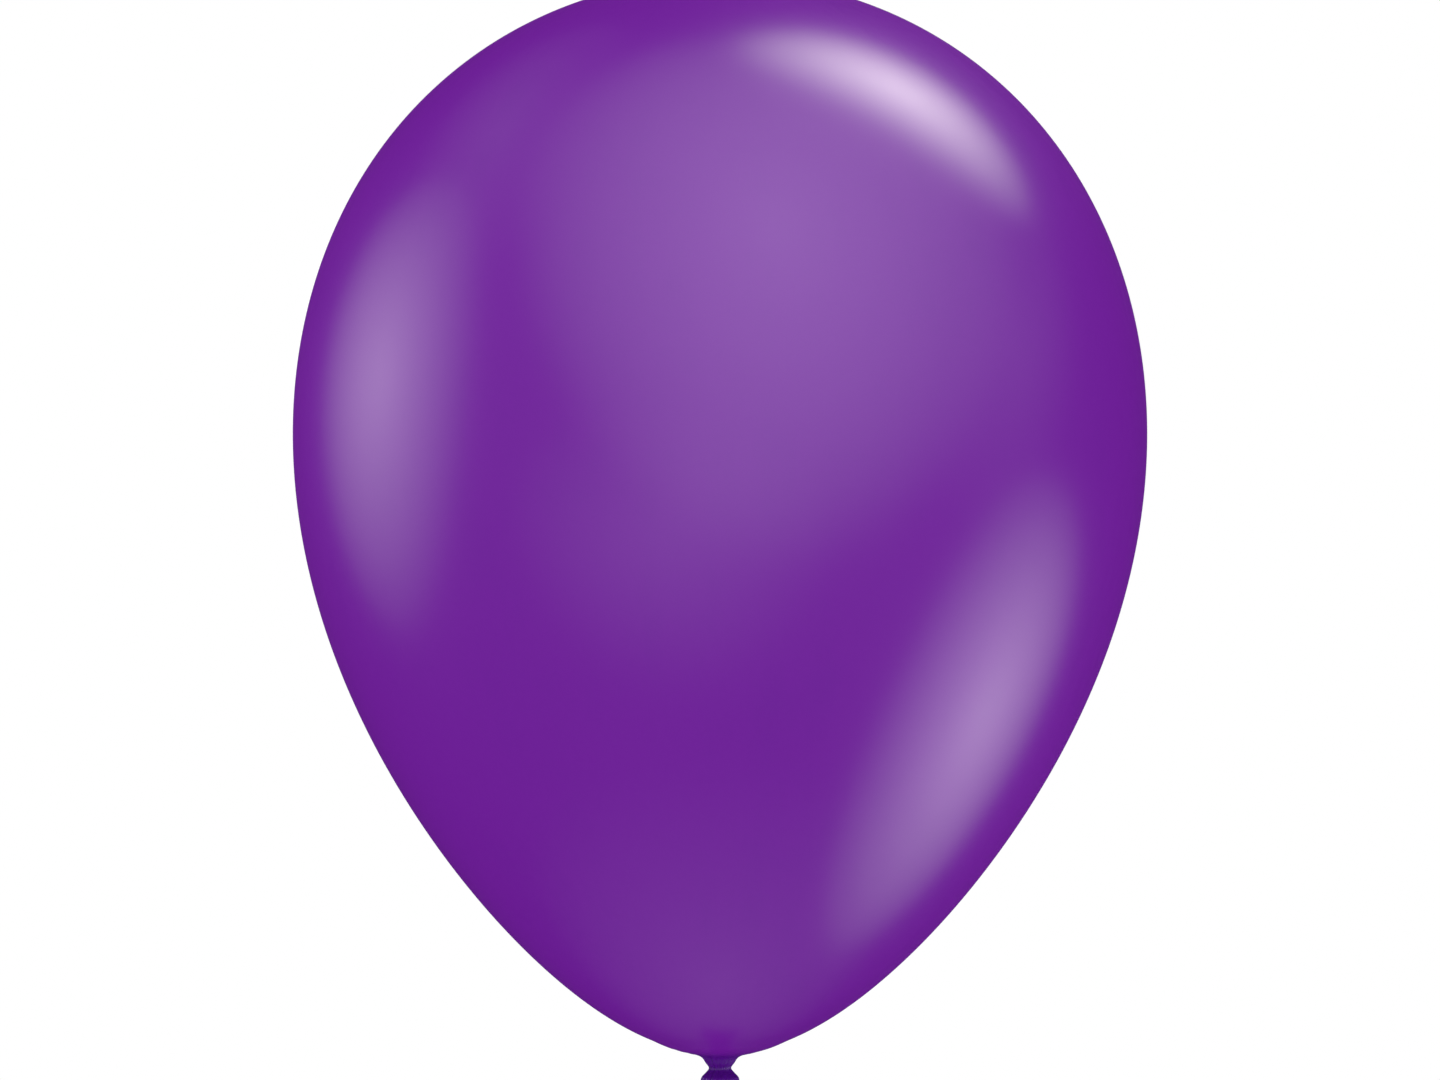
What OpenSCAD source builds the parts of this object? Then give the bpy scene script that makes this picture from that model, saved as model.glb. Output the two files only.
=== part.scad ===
// Round latex party balloon, inflated and tied by hand.
//
// The origin is the middle of the throat, the thin waist above the knot that a ribbon, a stick cup
// or a clip grips. +Z runs up from the throat through the crown. The body, neck and throat are round
// about Z. The tail below the knot is flattened, with its wide side along X.
//
// A balloon is one dipped skin. Each module below is a zone of that skin that has its own form or
// that moves on its own: the neck twists under the body, the throat bends both ways above the knot,
// and the tail flaps below it.

/* [Body] */
// Widest diameter of the inflated body
body_d = 280; // [200:5:320]
// Height of the body, as a multiple of its diameter
body_aspect = 1.26; // [1.15:0.01:1.4]
// Thickness of the modelled skin
skin_t = 0.4; // [0.3:0.05:0.6]
// Number of straight steps in the outline of the body
body_steps = 90; // [48:2:120]

/* [Crown] */
// Where the thick spot at the crown ends, in degrees along the outline
crown_angle = 3.2; // [2:0.2:5]
// Thickness of the crown spot
crown_t = 0.8; // [0.6:0.1:1.6]

/* [Neck] */
// Where the smooth body becomes the gathered neck, in degrees along the outline from the throat
neck_angle = 9.5; // [8:0.5:12]
// Diameter of the throat, where the knot squeezes the skin into a cord
throat_d = 6.6; // [6:0.1:7.2]
// Greatest lean of the throat in one direction, in degrees
lean_max = 45; // [30:1:45]

/* [Knot] */
// Thickness of the strand that wraps round the knot
wrap_d = 5; // [4.4:0.1:5.2]
// Radius of the turn that this strand makes, to its middle
wrap_turn_r = 4.9; // [4.6:0.1:5.2]
// Tilt of the turn, in degrees
wrap_tilt = 10; // [0:1:10]

/* [Tail] */
// Length of the tail, from its hinge line to the mouth
tail_len = 22; // [15:1:30]
// Width of the tail where it leaves the knot
tail_root_w = 7; // [6:0.5:9]
// Width of the mouth
mouth_w = 22; // [16:1:28]
// Depth of the mouth, front to back
mouth_t = 5.4; // [4.8:0.1:5.4]
// Thickness of the tail's skin
tail_skin_t = 0.8; // [0.8:0.05:1]
// Diameter of the rolled bead round the mouth
lip_d = 2.2; // [1.8:0.1:2.6]

/* [Hidden] */
$fn = 96;

// Gap between faces that turn on each other
running_gap = 0.1;
body_h = body_d * body_aspect;
// Height of the foot of the body's outline above the middle of the throat
body_foot_z = 4.6;

// The ball of the throat turns in a cup in the neck above it and in another in the knot below it.
// Each cup ends at a cone from the ball's middle. The two cones leave room for both leans at once.
throat_r = throat_d / 2;
cup_r = throat_r + running_gap;
both_leans = acos(cos(lean_max) * cos(lean_max));
cone_angle = both_leans / 2 + 1.5;
cone_slope = tan(cone_angle);
// Height of the floor that closes the neck above its cup
neck_floor_z = cup_r + 1.6;

wrap_r = wrap_d / 2;
wrap_z = -7;
collar_r = 5.6;
core_r = 6;
core_shoulder_z = -5;
core_hip_z = -9;
core_foot_r = 3.4;

// The tail hangs from a barrel that lies along X in a groove under the knot
tail_hinge_z = -12;
barrel_r = 1.8;
barrel_len = 6;
tail_root_t = 2.2;
// Distance below the hinge at which the hollow of the tail starts
pocket_start = 5;
mouth_z = tail_hinge_z - tail_len;
lip_r = lip_d / 2;
// The bead's middle lies below the edge of the skin, so its top is a flat that the skin stands on
lip_drop = 0.6 * lip_r;

body_color = [0.43, 0.16, 0.60];
neck_color = [0.36, 0.12, 0.53];
throat_color = [0.29, 0.08, 0.45];
knot_color = [0.30, 0.08, 0.47];
tail_color = [0.33, 0.10, 0.50];

// The outline of the body is an egg. It is followed by an angle from 0 at the crown to 180 at the
// throat. fullness() makes the upper half rounder than an ellipse and draws the lower half in.
function fullness(c) = 0.986 + 0.1785 * c - 0.074 * pow(c, 2) + 0.0435 * pow(c, 3);
function fullness_rate(c) = 0.1785 - 0.148 * c + 0.1305 * pow(c, 2);
function egg_point(a) = [
    body_d / 2 * sin(a) * fullness(cos(a)),
    body_foot_z + body_h * (1 + cos(a)) / 2
];
function egg_along(a) = [
    body_d / 2 * (cos(a) * fullness(cos(a)) - pow(sin(a), 2) * fullness_rate(cos(a))),
    -body_h / 2 * sin(a)
];
// Unit vector out of the skin
function egg_out(a) = let (t = egg_along(a)) [-t[1], t[0]] / norm(t);
// A point that lies under the outline by a depth
function egg_inset(a, depth) = egg_point(a) - depth * egg_out(a);

// Section of a skin between two angles, from the outline in to a depth
function skin_section(a_start, a_end, depth, steps) = [
    for (i = [0 : steps]) egg_point(a_start + (a_end - a_start) * i / steps),
    for (i = [steps : -1 : 0]) egg_inset(a_start + (a_end - a_start) * i / steps, depth)
];

module envelope() {
    color(body_color)
    rotate_extrude()
    polygon(skin_section(crown_angle, 180 - neck_angle, skin_t, body_steps));
}

module crown_cap() {
    color(neck_color)
    rotate_extrude()
    polygon(skin_section(0, crown_angle, crown_t, 4));
}

// The neck goes on from the body in a straight line until it meets the upper cone. Its floor
// closes it, because the gathered skin leaves no way through.
module neck_funnel() {
    end_angle = 180 - neck_angle;
    along = egg_along(end_angle) / norm(egg_along(end_angle));
    slope = along[1] / along[0];
    rim = egg_point(end_angle) + running_gap * along;
    inner_rim = egg_inset(end_angle, skin_t) + running_gap * along;
    foot_r = (rim[1] - slope * rim[0]) / (cone_slope - slope);
    floor_r = inner_rim[0] - (inner_rim[1] - neck_floor_z) / slope;
    color(neck_color)
    difference() {
        rotate_extrude()
        polygon([
            [0, 0],
            [foot_r, foot_r * cone_slope],
            rim,
            inner_rim,
            [floor_r, neck_floor_z],
            [0, neck_floor_z]
        ]);
        sphere(r = cup_r);
    }
}

module throat() {
    color(throat_color)
    sphere(r = throat_r);
}

module wrap_shape() {
    translate([0, 0, wrap_z])
    rotate([0, wrap_tilt, 0])
    rotate_extrude()
    translate([wrap_turn_r, 0])
    circle(r = wrap_r);
}

module knot_wrap() {
    color(knot_color)
    wrap_shape();
}

// The strand that runs down through the turn
module knot_core() {
    color(throat_color)
    difference() {
        rotate_extrude()
        polygon([
            [0, 0],
            [collar_r, -collar_r * cone_slope],
            [core_r, core_shoulder_z],
            [core_r, core_hip_z],
            [core_foot_r, tail_hinge_z],
            [0, tail_hinge_z]
        ]);
        sphere(r = cup_r);
        wrap_shape();
        translate([0, 0, tail_hinge_z])
        rotate([0, 90, 0])
        cylinder(r = barrel_r + running_gap, h = 4 * core_r, center = true);
    }
}

function tail_w(s) = tail_root_w + (mouth_w - tail_root_w) * s / tail_len;
function tail_t(s) = tail_root_t + (mouth_t - tail_root_t) * s / tail_len;

// A flattened tube between two distances below the hinge, drawn in from the tail's outside
module flat_tube(s_start, s_end, inset) {
    slice_h = 0.01;
    hull()
    for (s = [s_start, s_end])
    for (side = [-1, 1])
    translate([side * (tail_w(s) - tail_t(s)) / 2, 0, tail_hinge_z - s])
    cylinder(d = tail_t(s) - 2 * inset, h = slice_h, $fn = 32);
}

module tail_sleeve() {
    color(tail_color) {
        difference() {
            flat_tube(0, tail_len, 0);
            flat_tube(pocket_start, tail_len + 0.5, tail_skin_t);
        }
        translate([0, 0, tail_hinge_z])
        rotate([0, 90, 0])
        cylinder(r = barrel_r, h = barrel_len, center = true);
    }
}

// A bead round the mouth: two straight rods joined by two half rings
module mouth_lip() {
    straight = mouth_w - mouth_t;
    turn_r = (mouth_t - tail_skin_t) / 2;
    color(tail_color)
    difference() {
        translate([0, 0, mouth_z - lip_drop])
        for (side = [-1, 1]) {
            translate([side * straight / 2, 0, 0])
            rotate([0, 0, -side * 90])
            rotate_extrude(angle = 180)
            translate([turn_r, 0])
            circle(r = lip_r);
            translate([0, side * turn_r, 0])
            rotate([0, 90, 0])
            cylinder(r = lip_r, h = straight, center = true);
        }
        translate([-mouth_w, -mouth_w, mouth_z])
        cube([2 * mouth_w, 2 * mouth_w, lip_d]);
    }
}

envelope();
crown_cap();
neck_funnel();
throat();
knot_core();
knot_wrap();
tail_sleeve();
mouth_lip();
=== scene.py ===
import math

import bpy
import numpy as np
from mathutils import Matrix, Vector


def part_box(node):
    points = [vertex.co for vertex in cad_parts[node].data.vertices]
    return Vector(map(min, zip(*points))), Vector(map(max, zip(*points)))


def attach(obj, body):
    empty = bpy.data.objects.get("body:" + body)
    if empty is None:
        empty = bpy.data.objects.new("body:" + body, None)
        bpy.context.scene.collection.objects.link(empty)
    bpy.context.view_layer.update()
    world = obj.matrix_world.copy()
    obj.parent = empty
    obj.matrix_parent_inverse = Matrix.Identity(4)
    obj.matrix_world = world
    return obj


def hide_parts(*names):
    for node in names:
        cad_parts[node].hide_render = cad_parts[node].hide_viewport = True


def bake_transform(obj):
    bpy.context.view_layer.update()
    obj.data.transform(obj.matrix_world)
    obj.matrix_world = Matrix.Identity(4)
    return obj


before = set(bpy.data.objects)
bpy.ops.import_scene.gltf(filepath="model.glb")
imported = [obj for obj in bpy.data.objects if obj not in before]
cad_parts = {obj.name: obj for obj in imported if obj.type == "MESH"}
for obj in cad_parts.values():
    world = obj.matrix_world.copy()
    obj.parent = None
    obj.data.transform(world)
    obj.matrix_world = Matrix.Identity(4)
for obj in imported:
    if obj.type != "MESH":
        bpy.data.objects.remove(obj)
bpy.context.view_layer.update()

# The looks of a round latex balloon. All lengths are in metres, in the frame's own axes: the origin
# is the middle of the throat and +Z runs up through the crown.
#
# The skin is one surface from the crown down to the top of the knot. It is worked out once, as a
# grid of rings, and cut into pieces at the rings where the joints begin and end, so neighbours
# share their edge points and their normals and no seam shows.

MM = 0.001

# ---------------------------------------------------------------- sizes

AROUND = 240                 # points in each ring of the skin
BODY_STEP = 2.9 * MM         # between rings on the body
NECK_STEP = 0.42 * MM        # between rings on the neck and below it
FINE_BELOW_Z = 20 * MM       # where the step changes
SKIN_T = 0.4 * MM            # thickness of the skin
FOOT_Z = 4.6 * MM            # foot of the body's outline, as in the CAD model
NECK_START_R = 23 * MM       # where the egg gives way to the neck
TWIST_TOP_Z = 14 * MM        # the twist ends here, above it the skin is body
LEAN_TOP_R = 10.8 * MM       # the lean ends here, and the twist begins
PLEATS_START_R = 26 * MM     # the gathers fade in from here
PLEATS_FULL_R = 5.5 * MM     # and are deepest from here down
PLEAT_DEPTH = 0.42 * MM

body_low, body_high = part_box("envelope")
crown_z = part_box("crown_cap")[1].z
throat_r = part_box("throat")[1].x
MOUTH_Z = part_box("tail_sleeve")[0].z


# ---------------------------------------------------------------- the outline of the skin

def fullness(c):
    """How full the body is beside an ellipse, for the cosine of the outline's angle."""
    return 0.986 + 0.1785 * c - 0.074 * c**2 + 0.0435 * c**3


def egg(angle):
    """Radius and height of the body's outline, for an angle from 0 at the crown to pi at the foot."""
    c = np.cos(angle)
    r = np.sin(angle) * fullness(c)
    z = FOOT_Z + (crown_z - FOOT_Z) * (1 + c) / 2
    return r, z


def egg_scale():
    """The factor that makes the outline as wide as the CAD body."""
    r, _ = egg(np.linspace(0, math.pi, 2001))
    return (body_high.x - body_low.x) / 2 / r.max()


EGG_SCALE = egg_scale()

# Radius and height of the neck, the throat and the bulb on top of the knot, in millimetres
NECK_POINTS = [
    (19.0, 7.65),
    (15.3, 6.25),
    (11.0, 5.05),
    (8.0, 4.35),
    (6.0, 3.4),
    (4.8, 1.7),
    (throat_r / MM + 0.4, 0),
    (4.7, -1.5),
    (6.1, -3.0),
    (6.4, -4.4),
    (5.4, -6.0),
    (3.2, -7.2),
]


def spline(points, per_span):
    """A smooth curve through points (Catmull-Rom), with per_span steps between two of them."""
    p = np.asarray(points, float)
    p = np.vstack([2 * p[0] - p[1], p, 2 * p[-1] - p[-2]])
    out = []
    for i in range(1, len(p) - 2):
        t = np.linspace(0, 1, per_span, endpoint=False)[:, None]
        a, b, c, d = p[i - 1], p[i], p[i + 1], p[i + 2]
        out.append(
            0.5 * (2 * b + (c - a) * t + (2 * a - 5 * b + 4 * c - d) * t**2
                   + (3 * b - a - 3 * c + d) * t**3)
        )
    out.append(p[-2][None, :])
    return np.vstack(out)


def even_steps(curve, step):
    """The same curve with its points about a step apart."""
    length = np.concatenate([[0], np.cumsum(np.linalg.norm(np.diff(curve, axis=0), axis=1))])
    count = max(2, int(round(length[-1] / step)))
    at = np.linspace(0, length[-1], count + 1)
    return np.stack([np.interp(at, length, curve[:, k]) for k in range(curve.shape[1])], axis=1)


def skin_outline():
    """Radius and height from the crown pole to the bulb of the knot: coarse on the body, fine below."""
    r, z = egg(np.linspace(0, math.pi, 20001))
    r = r * EGG_SCALE
    widest = np.argmax(r)
    last = widest + np.argmax(r[widest:] < NECK_START_R)
    body = np.stack([r[:last], z[:last]], axis=1)
    lead_in = body[-400]         # a point further up, so that the neck carries on the body's slope
    per_span = 60
    neck = spline([lead_in, body[-1]] + [(r_mm * MM, z_mm * MM) for r_mm, z_mm in NECK_POINTS], per_span)
    neck = neck[per_span:]
    split = np.argmax(body[:, 1] < FINE_BELOW_Z)
    upper = even_steps(body[:split], BODY_STEP)
    lower = even_steps(np.vstack([body[split:], neck]), NECK_STEP)
    return np.vstack([upper[:-1], lower])


OUTLINE = skin_outline()


def ring_at(height=None, radius=None):
    """Index of the ring of the outline's lower half nearest to a height or a radius."""
    low = np.argmax(OUTLINE[:, 0])
    high = int(np.argmin(np.abs(OUTLINE[:, 1])))
    part = OUTLINE[low:high + 1]
    wanted = np.abs(part[:, 1] - height) if radius is None else np.abs(part[:, 0] - radius)
    return low + int(np.argmin(wanted))


# ---------------------------------------------------------------- gathers

def gathers(phi, count, seed):
    """Uneven folds round an axis: 0 on the crests and up to 1 at the bottom of the creases."""
    rng = np.random.default_rng(seed)
    warp = sum(
        rng.uniform(0.1, 0.32) / k * np.sin(k * phi + rng.uniform(0, math.tau)) for k in (1, 2, 3, 4)
    )
    depth = 0.75 + 0.25 * np.sin(2 * phi + rng.uniform(0, math.tau))
    fold = 1 - np.abs(np.cos(count / 2 * (phi + warp)))
    return depth * fold**1.6


def smooth(start, end, x):
    """0 before start and 1 past end, with a smooth step between them. start may be above end."""
    t = np.clip((x - start) / (end - start), 0, 1)
    return t * t * (3 - 2 * t)


def skin_grid():
    """Points and outward normals of the skin, one row for each ring of the outline."""
    phi = np.linspace(0, math.tau, AROUND, endpoint=False)
    r, z = OUTLINE[:, :1], OUTLINE[:, 1:]
    along = np.gradient(OUTLINE, axis=0)
    along /= np.linalg.norm(along, axis=1)[:, None] + 1e-12
    out_r, out_z = -along[:, 1:], along[:, :1]
    low_half = (np.arange(len(OUTLINE)) > np.argmax(OUTLINE[:, 0]))[:, None]
    near_throat = smooth(PLEATS_START_R, PLEATS_FULL_R, r) * low_half
    swirled = phi[None, :] + 0.7 * near_throat + 0.5 * near_throat**4
    folds = gathers(swirled, 13, 3) + 0.35 * gathers(swirled, 31, 8)
    sink = PLEAT_DEPTH * near_throat**1.4 * folds
    pleated_r = r - out_r * sink
    pleated_z = z - out_z * sink
    points = np.stack([pleated_r * np.cos(phi), pleated_r * np.sin(phi), pleated_z + 0 * phi], axis=2)
    down = np.gradient(points, axis=0)
    side = np.roll(points, -1, axis=1) - np.roll(points, 1, axis=1)
    normals = np.cross(down, side)
    length = np.linalg.norm(normals, axis=2, keepdims=True)
    normals = np.where(length > 1e-14, normals / (length + 1e-20), [0, 0, 1.0])
    normals[0] = [0, 0, 1.0]
    return points, normals


SKIN, SKIN_NORMALS = skin_grid()


def thickness_of(points):
    """How thick the latex is: 0 on the stretched body, 0.8 at the crown's middle, 1 in the throat."""
    r = np.hypot(points[..., 0], points[..., 1])
    z = points[..., 2]
    crown = 0.68 * smooth(9.5 * MM, 6 * MM, r) + 0.14 * np.exp(-((r / (17 * MM)) ** 2))
    at_crown = crown * (z > 0.2)
    near_neck = smooth(22 * MM, 5 * MM, r) ** 2 * (z < 0.1)
    return np.clip(np.maximum(at_crown, near_neck), 0, 1)


# ---------------------------------------------------------------- meshes

def make_object(name, verts, faces, material, normals=None):
    """A smooth object that carries its points at rest and the latex's thickness, for the materials."""
    mesh = bpy.data.meshes.new(name)
    mesh.from_pydata(verts.tolist(), [], faces)
    mesh.update()
    mesh.polygons.foreach_set("use_smooth", [True] * len(mesh.polygons))
    rest = mesh.attributes.new("rest", "FLOAT_VECTOR", "POINT")
    rest.data.foreach_set("vector", verts.astype(np.float32).ravel())
    thick = mesh.attributes.new("thick", "FLOAT", "POINT")
    thick.data.foreach_set("value", thickness_of(verts).astype(np.float32))
    if normals is not None:
        mesh.normals_split_custom_set_from_vertices(normals.tolist())
    mesh.materials.append(material)
    obj = bpy.data.objects.new(name, mesh)
    bpy.context.collection.objects.link(obj)
    return obj


def loft_faces(rings, around, closed=False, first_pole=False, last_pole=False):
    """Quads between rings of points. closed joins the last ring to the first. A pole is one point."""
    faces = []
    starts = []
    count = 0
    for i in range(rings):
        starts.append(count)
        pole = (first_pole and i == 0) or (last_pole and i == rings - 1)
        count += 1 if pole else around
    for i in range(rings if closed else rings - 1):
        a, b = starts[i], starts[(i + 1) % rings]
        for j in range(around):
            k = (j + 1) % around
            if first_pole and i == 0:
                faces.append((a, b + j, b + k))
            elif last_pole and i == rings - 2:
                faces.append((a + j, b, a + k))
            else:
                faces.append((a + j, b + j, b + k, a + k))
    return faces


def in_one_row(rings, poles):
    """All the rings' vectors in one list. With poles, the first and the last ring give one each."""
    if poles:
        return np.concatenate([rings[0, :1], rings[1:-1].reshape(-1, 3), rings[-1, :1]])
    return rings.reshape(-1, 3)


def skin_shell(name, start, end, material, inner_step=1):
    """The skin between two rings of the grid, as a closed shell. Its inside keeps one ring in inner_step."""
    outer, out_normals = SKIN[start:end + 1], SKIN_NORMALS[start:end + 1]
    back = sorted(set(range(0, len(outer), inner_step)) | {len(outer) - 1}, reverse=True)
    inner = outer[back] - SKIN_T * out_normals[back]
    points = np.concatenate([outer, inner])
    normals = np.concatenate([out_normals, -out_normals[back]])
    at_pole = start == 0
    faces = loft_faces(len(points), AROUND, closed=not at_pole, first_pole=at_pole, last_pole=at_pole)
    return make_object(name, in_one_row(points, at_pole), faces, material, in_one_row(normals, at_pole))


# ---------------------------------------------------------------- materials

def new_material(name):
    mat = bpy.data.materials.new(name)
    mat.use_nodes = True
    tree = mat.node_tree
    shader = tree.nodes["Principled BSDF"]
    return mat, tree, shader


def node(tree, kind, settings=None, **inputs):
    """Adds a node. Inputs go by name, or i0, i1 by place, and are values or another node's output."""
    made = tree.nodes.new(kind)
    for key, value in (settings or {}).items():
        setattr(made, key, value)
    for key, value in inputs.items():
        by_place = key[0] == "i" and key[1:].isdigit()
        socket = made.inputs[int(key[1:]) if by_place else key]
        if isinstance(value, bpy.types.NodeSocket):
            tree.links.new(value, socket)
        else:
            socket.default_value = value
    return made


def math_node(tree, operation, a, b=0.0, clamp=False):
    settings = {"operation": operation, "use_clamp": clamp}
    return node(tree, "ShaderNodeMath", settings, i0=a, i1=b).outputs[0]


def vector_math(tree, operation, *vectors):
    inputs = {f"i{k}": vector for k, vector in enumerate(vectors)}
    return node(tree, "ShaderNodeVectorMath", {"operation": operation}, **inputs).outputs[0]


def map_range(tree, value, low, high, to_low, to_high):
    made = node(tree, "ShaderNodeMapRange", None, Value=value)
    made.inputs["From Min"].default_value = low
    made.inputs["From Max"].default_value = high
    made.inputs["To Min"].default_value = to_low
    made.inputs["To Max"].default_value = to_high
    return made.outputs["Result"]


def mix_color(tree, factor, a, b):
    """From colour a to colour b. The sockets' places are those of a Mix node set to colours."""
    made = node(tree, "ShaderNodeMix", {"data_type": "RGBA"}, i0=factor, i6=(*a, 1.0), i7=(*b, 1.0))
    return made.outputs[2]


def attribute(tree, name):
    return node(tree, "ShaderNodeAttribute", {"attribute_name": name})


def noise(tree, vector, scale, detail, rough):
    made = node(tree, "ShaderNodeTexNoise", None,
                Vector=vector, Scale=scale, Detail=detail, Roughness=rough)
    return made.outputs["Fac"]


def meridian_vector(tree, rest, turns, height_scale):
    """Coordinates whose noise runs in streaks down the skin: round the axis fast, along it slowly."""
    outward = vector_math(tree, "NORMALIZE", vector_math(tree, "MULTIPLY", rest, (1, 1, 0)))
    spread = vector_math(tree, "MULTIPLY", outward, (turns, turns, 0))
    up = vector_math(tree, "MULTIPLY", rest, (0, 0, height_scale))
    return vector_math(tree, "ADD", spread, up)


STRETCHED = (0.133, 0.004, 0.277)     # the violet where the latex is thin
THICK = (0.075, 0.003, 0.215)         # and where it is thick


def swing(tree, value, amount):
    """A noise value turned into a change of plus or minus about amount."""
    return map_range(tree, value, 0.3, 0.7, -amount, amount)


def add_up(tree, *values):
    total = values[0]
    for value in values[1:]:
        total = math_node(tree, "ADD", total, value)
    return total


def latex(name, shine, rough_stretched, rough_thick, wrinkle):
    """Dipped latex: deeper in colour where it is thick, a little cloudy, with streaks along the stretch."""
    mat, tree, shader = new_material(name)
    rest = attribute(tree, "rest").outputs["Vector"]
    thick = attribute(tree, "thick").outputs["Fac"]

    clouds = noise(tree, rest, 26.0, 3.0, 0.55)
    mottle = noise(tree, rest, 190.0, 4.0, 0.6)
    streak = noise(tree, meridian_vector(tree, rest, 14.0, 9.0), 1.0, 4.0, 0.6)
    specks = node(tree, "ShaderNodeTexVoronoi", None, Vector=rest, Scale=520.0).outputs["Distance"]
    specks = map_range(tree, specks, 0.0, 0.16, 0.05, 0.0)

    depth = add_up(tree, thick, swing(tree, clouds, 0.05), swing(tree, mottle, 0.025),
                   swing(tree, streak, 0.035))
    depth = math_node(tree, "ADD", depth, specks, clamp=True)
    tree.links.new(mix_color(tree, depth, STRETCHED, THICK), shader.inputs["Base Color"])

    rough = map_range(tree, thick, 0.0, 1.0, rough_stretched, rough_thick)
    rough = add_up(tree, rough, swing(tree, mottle, 0.03), swing(tree, streak, 0.025))
    tree.links.new(rough, shader.inputs["Roughness"])

    peel = math_node(tree, "MULTIPLY", noise(tree, rest, 420.0, 2.0, 0.5), 0.012)
    ribs = noise(tree, meridian_vector(tree, rest, 42.0, 60.0), 1.0, 3.0, 0.6)
    ribs = math_node(tree, "MULTIPLY", ribs, math_node(tree, "MULTIPLY", thick, wrinkle))
    height = math_node(tree, "ADD", peel, ribs)
    bump = node(tree, "ShaderNodeBump", None, Height=height, Strength=1.0, Distance=0.6 * MM)
    tree.links.new(bump.outputs["Normal"], shader.inputs["Normal"])

    shader.inputs["IOR"].default_value = 1.52
    shader.inputs["Specular IOR Level"].default_value = 0.01
    coat = map_range(tree, thick, 0.0, 1.0, shine, 0.4 * shine)
    tree.links.new(coat, shader.inputs["Coat Weight"])
    shader.inputs["Coat Roughness"].default_value = 0.25
    shader.inputs["Coat IOR"].default_value = 2.4
    return mat


skin_latex = latex("stretched_skin", 0.22, 0.58, 0.55, 0.35)
knot_latex = latex("knotted_skin", 0.3, 0.45, 0.46, 0.8)
tail_latex = latex("loose_skin", 0.2, 0.5, 0.56, 0.5)


# ---------------------------------------------------------------- body, neck and throat

twist_top = ring_at(height=TWIST_TOP_Z)
lean_top = ring_at(radius=LEAN_TOP_R)
middle = ring_at(height=0.0)

body_skin = skin_shell("body_skin", 0, twist_top, skin_latex, inner_step=3)
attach(body_skin, "body")
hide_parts("envelope")

neck_skin = skin_shell("neck_skin", twist_top, lean_top, skin_latex)
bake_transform(neck_skin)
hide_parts("neck_funnel")

throat_skin = skin_shell("throat_skin", lean_top, middle, skin_latex)
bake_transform(throat_skin)
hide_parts("throat")


def bulb():
    """From the middle of the throat down into the knot, closed at both ends."""
    outer, out_normals = SKIN[middle:], SKIN_NORMALS[middle:]
    top_centre = np.array([[0, 0, outer[0, :, 2].mean()]])
    bottom_centre = np.array([[0, 0, outer[-1, :, 2].mean()]])
    verts = np.concatenate([top_centre, outer.reshape(-1, 3), bottom_centre])
    normals = np.concatenate([[[0, 0, 1.0]], out_normals.reshape(-1, 3), [[0, 0, -1.0]]])
    faces = loft_faces(len(outer) + 2, AROUND, first_pole=True, last_pole=True)
    return make_object("knot_bulb", verts, faces, skin_latex, normals)


knot_bulb = bulb()
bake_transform(knot_bulb)


# ---------------------------------------------------------------- crown spot

SPOT_R = 11 * MM             # rim of the spot
SPOT_RISE = 0.45 * MM        # its middle above its rim
SPOT_SINK = 0.04 * MM        # its rim below the skin
NUB_RISE = 0.25 * MM         # the point left by the tip of the dipping form
NUB_R = 2.4 * MM


def level_rings(radii, heights):
    phi = np.linspace(0, math.tau, AROUND, endpoint=False)
    return [np.stack([r * np.cos(phi), r * np.sin(phi), 0 * phi + z], axis=1)
            for r, z in zip(radii, heights)]


def crown_spot():
    """A lens of thicker latex where the skin was never stretched much. Its rim sinks into the skin."""
    rings = 22
    r, z = egg(np.linspace(0, 0.1, 4001))
    at = np.linspace(0, SPOT_R, rings + 1)[1:]
    skin_z = np.interp(at, r * EGG_SCALE, z)
    dome = SPOT_RISE * (1 - (at / SPOT_R) ** 2) ** 1.5 - SPOT_SINK
    nub = NUB_RISE * np.exp(-((at / NUB_R) ** 2))
    peak = np.array([[0, 0, crown_z + SPOT_RISE - SPOT_SINK + NUB_RISE]])
    upper = level_rings(at, skin_z + dome + nub)
    lower = level_rings(at[::-1], (skin_z - SKIN_T / 2)[::-1])
    base = np.array([[0, 0, crown_z - SKIN_T / 2]])
    verts = np.concatenate([peak, *upper, *lower, base])
    faces = loft_faces(2 * rings + 2, AROUND, first_pole=True, last_pole=True)
    return make_object("crown_spot", verts, faces, skin_latex)


spot = crown_spot()
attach(spot, "body")
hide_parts("crown_cap")


# ---------------------------------------------------------------- knot

# The strand's path through an overhand knot, as angle in degrees, radius and height in millimetres:
# down the middle, out to the back, once round, then in over its own start and down through the turn
KNOT_PATH = [
    (90, 0.0, -4.2),
    (90, 1.6, -6.0),
    (75, 3.6, -7.9),
    (40, 4.7, -8.2),
    (0, 4.9, -8.05),
    (-45, 4.9, -7.8),
    (-90, 4.9, -7.15),
    (-135, 4.9, -6.6),
    (-180, 4.9, -6.2),
    (-225, 4.9, -6.15),
    (-262, 4.6, -6.2),
    (-292, 3.7, -6.6),
    (-320, 2.2, -7.6),
    (-340, 0.8, -8.6),
    (-340, 0.0, -9.6),
]
STRAND_R = 2.42 * MM
STRAND_PLEAT = 0.5 * MM      # depth of its pleats
VOXEL = 0.17 * MM            # of the remesh that joins the turns


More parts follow.
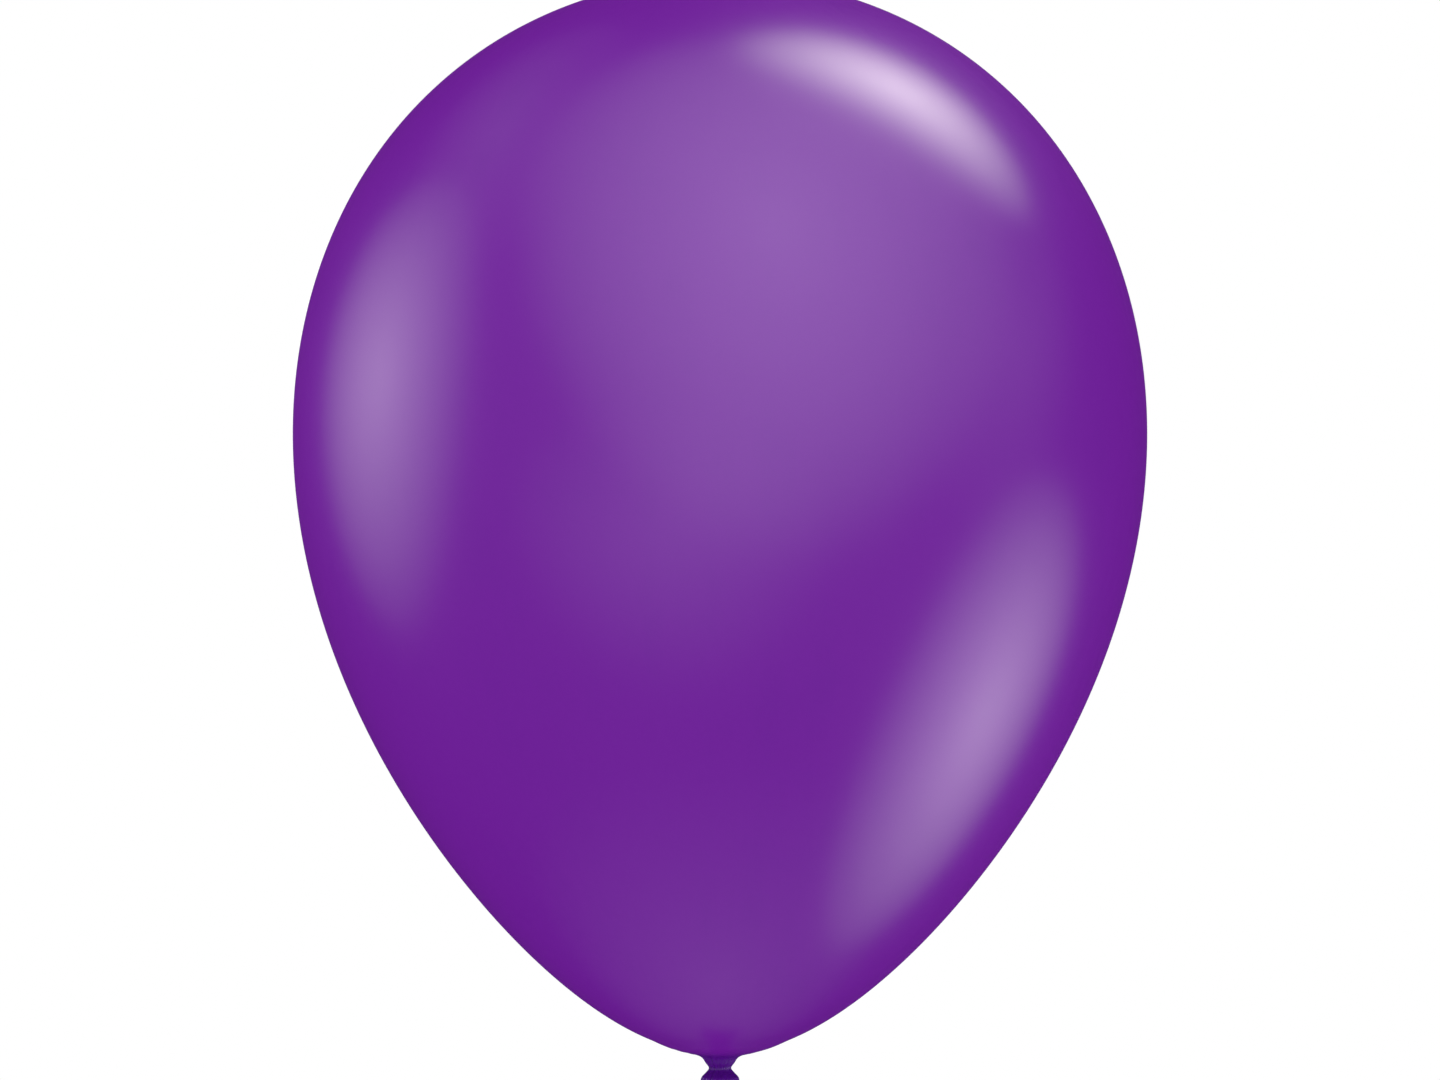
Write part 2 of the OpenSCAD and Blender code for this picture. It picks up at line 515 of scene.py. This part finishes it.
def normals_along(path):
    """Two normals for each point of the path, which turn as little as they can along it."""
    tangents = np.gradient(path, axis=0)
    tangents /= np.linalg.norm(tangents, axis=1)[:, None]
    normal = np.cross(tangents[0], [0, 1, 0])
    normal /= np.linalg.norm(normal)
    normals = []
    for tangent in tangents:
        normal = normal - tangent * (normal @ tangent)
        normal /= np.linalg.norm(normal)
        normals.append(normal)
    normals = np.array(normals)
    return normals, np.cross(tangents, normals)


def knot_strand():
    """A pleated strand laid along the knot's path. A fine remesh joins it where its turns touch."""
    path = np.array([
        (r * math.cos(math.radians(a)), r * math.sin(math.radians(a)), z) for a, r, z in KNOT_PATH
    ]) * MM
    path = even_steps(spline(path, 24), 0.3 * MM)
    u, v = normals_along(path)
    sides = 96
    phi = np.linspace(0, math.tau, sides, endpoint=False)
    along = np.linspace(0, 1, len(path))
    pleats = gathers(phi, 9, 21)
    rings = []
    for k, centre in enumerate(path):
        turn = 0.5 * math.sin(5 * along[k]) + 1.4 * along[k]
        pleat = np.interp((phi + turn) % math.tau, np.append(phi, math.tau), np.append(pleats, pleats[0]))
        ends = 0.82 + 0.18 * smooth(0, 0.1, along[k]) * smooth(1, 0.88, along[k])
        r = STRAND_R * ends * (1 + 0.03 * math.sin(17 * along[k])) - STRAND_PLEAT * pleat
        rings.append(centre + np.outer(np.cos(phi) * r, u[k]) + np.outer(np.sin(phi) * r, v[k]))
    verts = np.concatenate([path[:1], *rings, path[-1:]])
    faces = loft_faces(len(path) + 2, sides, first_pole=True, last_pole=True)
    strand = make_object("strand_draft", verts, faces, knot_latex)
    remesh = strand.modifiers.new("join", "REMESH")
    remesh.mode = "VOXEL"
    remesh.voxel_size = VOXEL
    remesh.use_smooth_shade = True
    relax = strand.modifiers.new("soften", "SMOOTH")
    relax.factor = 0.5
    relax.iterations = 5
    done = bpy.data.meshes.new_from_object(strand.evaluated_get(bpy.context.evaluated_depsgraph_get()))
    points = np.array([p.co for p in done.vertices])
    polygons = [tuple(p.vertices) for p in done.polygons]
    bpy.data.objects.remove(strand)
    return make_object("knot_strand", points, polygons, knot_latex)


knot = knot_strand()
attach(knot, "knot")
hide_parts("knot_core", "knot_wrap")


# ---------------------------------------------------------------- tail

TAIL_TOP_Z = -8.2 * MM
POCKET_TOP_Z = -17 * MM      # how far up the tail is hollow
TAIL_SKIN_T = 0.5 * MM
TAIL_SIDES = 160
LIP_R = 0.98 * MM            # of the bead round the mouth


def tail_section(z, inset=0.0):
    """The outline of the tail at a height: gathered at the knot, then flat, wide and a little wavy."""
    phi = np.linspace(0, math.tau, TAIL_SIDES, endpoint=False)
    down = (TAIL_TOP_Z - z) / (TAIL_TOP_Z - MOUTH_Z)
    opening = smooth(0.0, 1.0, down)
    half_w = (1.9 + 9.0 * opening**0.8) * MM - inset
    half_t = (1.75 + 0.9 * opening) * MM - inset
    square = 2.0 + 1.1 * opening
    c, s = np.cos(phi), np.sin(phi)
    x = half_w * np.sign(c) * np.abs(c) ** (2 / square)
    y = half_t * np.sign(s) * np.abs(s) ** (2 / square)
    crease = gathers(phi, 16, 5) * (1 - smooth(0.3, 0.95, down)) * 0.6 * MM
    x -= crease * c * (1 - 0.6 * opening)
    y -= crease * s
    across = x / half_w
    sway = (1.3 * np.sin(2.2 * across + 0.6) + 0.4 * np.sin(5.1 * across)) * opening * MM
    rise = (1.1 * across**2 + 0.3 * np.sin(3.4 * across + 0.5)) * opening**2 * MM
    return np.stack([x, y + sway, z + rise], axis=1)


def tail_sleeve():
    """The tail's skin: down its outside to the mouth, then back up inside to the top of the hollow."""
    outer_z = np.linspace(TAIL_TOP_Z, MOUTH_Z, 70)
    inner_z = np.linspace(MOUTH_Z, POCKET_TOP_Z, 44)
    rings = [tail_section(z) for z in outer_z] + [tail_section(z, TAIL_SKIN_T) for z in inner_z]
    top = rings[0].mean(axis=0)[None, :]
    pocket = rings[-1].mean(axis=0)[None, :]
    verts = np.concatenate([top, *rings, pocket])
    faces = loft_faces(len(rings) + 2, TAIL_SIDES, first_pole=True, last_pole=True)
    return make_object("tail_skin", verts, faces, tail_latex)


tail = tail_sleeve()
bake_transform(tail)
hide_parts("tail_sleeve")


def groove(phi, at, width, depth):
    """A narrow groove that runs along a bead, at one angle of its round section."""
    return depth * np.exp(-(((phi - at) / width) ** 2))


def rolled_lip():
    """The bead round the mouth: a rolled edge, with grooves where the turns of the roll end."""
    path = tail_section(MOUTH_Z + 0.1 * MM, TAIL_SKIN_T / 2)
    path[:, 2] -= 0.45 * MM
    tangents = np.roll(path, -1, axis=0) - np.roll(path, 1, axis=0)
    tangents /= np.linalg.norm(tangents, axis=1)[:, None]
    out = np.cross(tangents, [0, 0, 1.0])
    out /= np.linalg.norm(out, axis=1)[:, None]
    sides = 40
    phi = np.linspace(0, math.tau, sides, endpoint=False)
    around = np.linspace(0, math.tau, len(path), endpoint=False)
    grooves = groove(phi, 2.0, 0.16, 0.22 * MM) + groove(phi, 4.6, 0.14, 0.12 * MM)
    rings = []
    for k, centre in enumerate(path):
        uneven = 0.035 * math.sin(3 * around[k]) + 0.02 * math.sin(7 * around[k] + 1)
        r = LIP_R * (1 + uneven) - grooves
        rings.append(centre + np.outer(np.cos(phi) * r, out[k]) + np.outer(np.sin(phi) * r, [0, 0, 1.0]))
    verts = np.concatenate(rings)
    faces = loft_faces(len(rings), sides, closed=True)
    return make_object("rolled_lip", verts, faces, tail_latex)


lip = rolled_lip()
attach(lip, "tail")
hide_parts("mouth_lip")


# ---------------------------------------------------------------- floor, lights and camera

FLOOR_Z = -0.42
FLOOR_R = 6.0
FADE_START = 0.6             # distances from the origin between which the floor fades out
FADE_END = 2.4


def pale_floor():
    """A wide pale floor that fades out before the horizon and can't be seen from below."""
    bpy.ops.mesh.primitive_circle_add(
        vertices=96, radius=FLOOR_R, fill_type="NGON", location=(0, 0, FLOOR_Z))
    floor = bpy.context.object
    floor.name = "floor"
    mat, tree, shader = new_material("pale_floor")
    shader.inputs["Base Color"].default_value = (0.92, 0.92, 0.92, 1)
    shader.inputs["Roughness"].default_value = 0.9
    shader.inputs["Specular IOR Level"].default_value = 0.1
    clear = tree.nodes.new("ShaderNodeBsdfTransparent")
    mix = tree.nodes.new("ShaderNodeMixShader")
    geometry = tree.nodes.new("ShaderNodeNewGeometry")
    length = node(tree, "ShaderNodeVectorMath", {"operation": "LENGTH"}, i0=geometry.outputs["Position"])
    fade = map_range(tree, length.outputs["Value"], FADE_START, FADE_END, 0.0, 1.0)
    gone = math_node(tree, "MAXIMUM", fade, geometry.outputs["Backfacing"])
    tree.links.new(gone, mix.inputs[0])
    tree.links.new(shader.outputs[0], mix.inputs[1])
    tree.links.new(clear.outputs[0], mix.inputs[2])
    tree.links.new(mix.outputs[0], tree.nodes["Material Output"].inputs["Surface"])
    floor.data.materials.append(mat)
    floor.visible_glossy = False
    floor.visible_shadow = False


ROOM_FRONT = 1.37            # strength of the room's light from in front of the balloon
ROOM_BACK = 0.94             # and from behind it


def white_room():
    """White to look at and black to reflections, with a soft matt light, stronger from the front."""
    world = bpy.data.worlds.new("room")
    bpy.context.scene.world = world
    world.use_nodes = True
    tree = world.node_tree
    background = tree.nodes["Background"]
    background.inputs["Color"].default_value = (1, 1, 1, 1)
    ray = tree.nodes.new("ShaderNodeLightPath").outputs
    direction = tree.nodes.new("ShaderNodeTexCoord").outputs["Generated"]
    depth = node(tree, "ShaderNodeSeparateXYZ", None, Vector=direction).outputs["Y"]
    light = map_range(tree, depth, -1.0, 1.0, ROOM_FRONT, ROOM_BACK)
    light = math_node(tree, "MULTIPLY", light, math_node(tree, "SUBTRACT", 1.0, ray["Is Glossy Ray"]))
    light = math_node(tree, "MULTIPLY", light, math_node(tree, "SUBTRACT", 1.0, ray["Is Camera Ray"]))
    strength = math_node(tree, "ADD", light, ray["Is Camera Ray"])
    tree.links.new(strength, background.inputs["Strength"])
    # With world sampling on, the room's light ignores which kind of ray it should reach.
    world.cycles.sampling_method = "NONE"


LAYER_GAP = 0.01             # so that no two layers of a light lie in one plane
WARM = (1.0, 0.98, 0.88)
WARM_WIDE = (0.96, 0.98, 0.82)
WARM_BRIGHT = (0.95, 0.98, 0.78)


def softbox(name, start, end, width, aim, radiance, tint):
    """An ellipse of light, seen in reflections only, that runs from start to end and faces aim."""
    start, end = Vector(start), Vector(end)
    light = bpy.data.lights.new(name, "AREA")
    light.shape = "ELLIPSE"
    light.color = tint
    light.size, light.size_y = (end - start).length, width
    light.energy = radiance * math.pi * math.pi / 4 * light.size * light.size_y
    made = bpy.data.objects.new(name, light)
    bpy.context.collection.objects.link(made)
    place = (start + end) / 2
    z_axis = (place - Vector(aim)).normalized()
    x_axis = (end - start).normalized()
    x_axis = (x_axis - x_axis.dot(z_axis) * z_axis).normalized()
    y_axis = z_axis.cross(x_axis)
    turn = Matrix((x_axis, y_axis, z_axis)).transposed()
    made.matrix_world = Matrix.Translation(place) @ turn.to_4x4()
    made.visible_camera = False
    made.visible_diffuse = False


def soft_light(name, start, end, width, aim, radiance, layers=6, tint=WARM):
    """A reflection that fades at its edges: ellipses on one line, each smaller and nearer than the last."""
    start, end = Vector(start), Vector(end)
    middle = (start + end) / 2
    inward = (Vector(aim) - middle).normalized()
    for k in range(layers):
        share = (1 - k / layers) ** 1.4
        nearer = middle + LAYER_GAP * k * inward
        softbox(f"{name}_{k}", nearer + (start - middle) * share, nearer + (end - middle) * share,
                width * share, aim, radiance / layers, tint)


CAMERA_Z = 0.1734            # level with the body, a little below its widest ring
FRAME_W = 0.4731             # width of the view at the balloon's axis


def camera():
    """Level, from straight in front. The tip of the crown and all below the throat fall outside the view."""
    data = bpy.data.cameras.new("camera")
    data.lens = 135
    data.sensor_width = 36
    made = bpy.data.objects.new("camera", data)
    bpy.context.collection.objects.link(made)
    distance = FRAME_W * data.lens / data.sensor_width
    made.location = (0.0, -distance, CAMERA_Z)
    made.rotation_euler = (math.pi / 2, 0, 0)
    bpy.context.scene.camera = made


MIDDLE = (0, 0, 0.21)         # of the body, where the lights aim

pale_floor()
white_room()
soft_light("glow", (-3.0, -1.25, 1.5), (3.85, -1.25, 1.5), 8.9, MIDDLE, 3.65,
           layers=8, tint=WARM_WIDE)
soft_light("left_box", (-1.24, 0.1, -0.3), (-1.03, 0.18, 1.04), 1.3, MIDDLE, 5.9)
soft_light("low_right_box", (0.62, -0.045, 0.14), (0.245, 0.01, -0.37), 0.53, MIDDLE, 7.1)
soft_light("top_right_box", (0.07, 0.24, 1.48), (1.06, 0.34, 0.9), 0.66, MIDDLE, 19.8,
           tint=WARM_BRIGHT)
soft_light("below", (-0.8, 0.1, -0.85), (0.8, 0.1, -0.85), 1.6, (0, 0, 0.05), 0.8)
soft_light("front_fill", (-2.5, -2.2, -0.6), (1.4, -2.2, -0.6), 2.0, MIDDLE, 1.1, layers=4)
soft_light("left_fill", (-1.4, -0.55, 1.25), (-0.45, 1.1, 1.45), 1.0, MIDDLE, 0.85, layers=4)
soft_light("right_fill", (1.2, 0.55, 1.05), (1.45, -0.8, -0.05), 0.8, MIDDLE, 0.8, layers=4)
camera()
bpy.context.scene.view_settings.view_transform = "Standard"
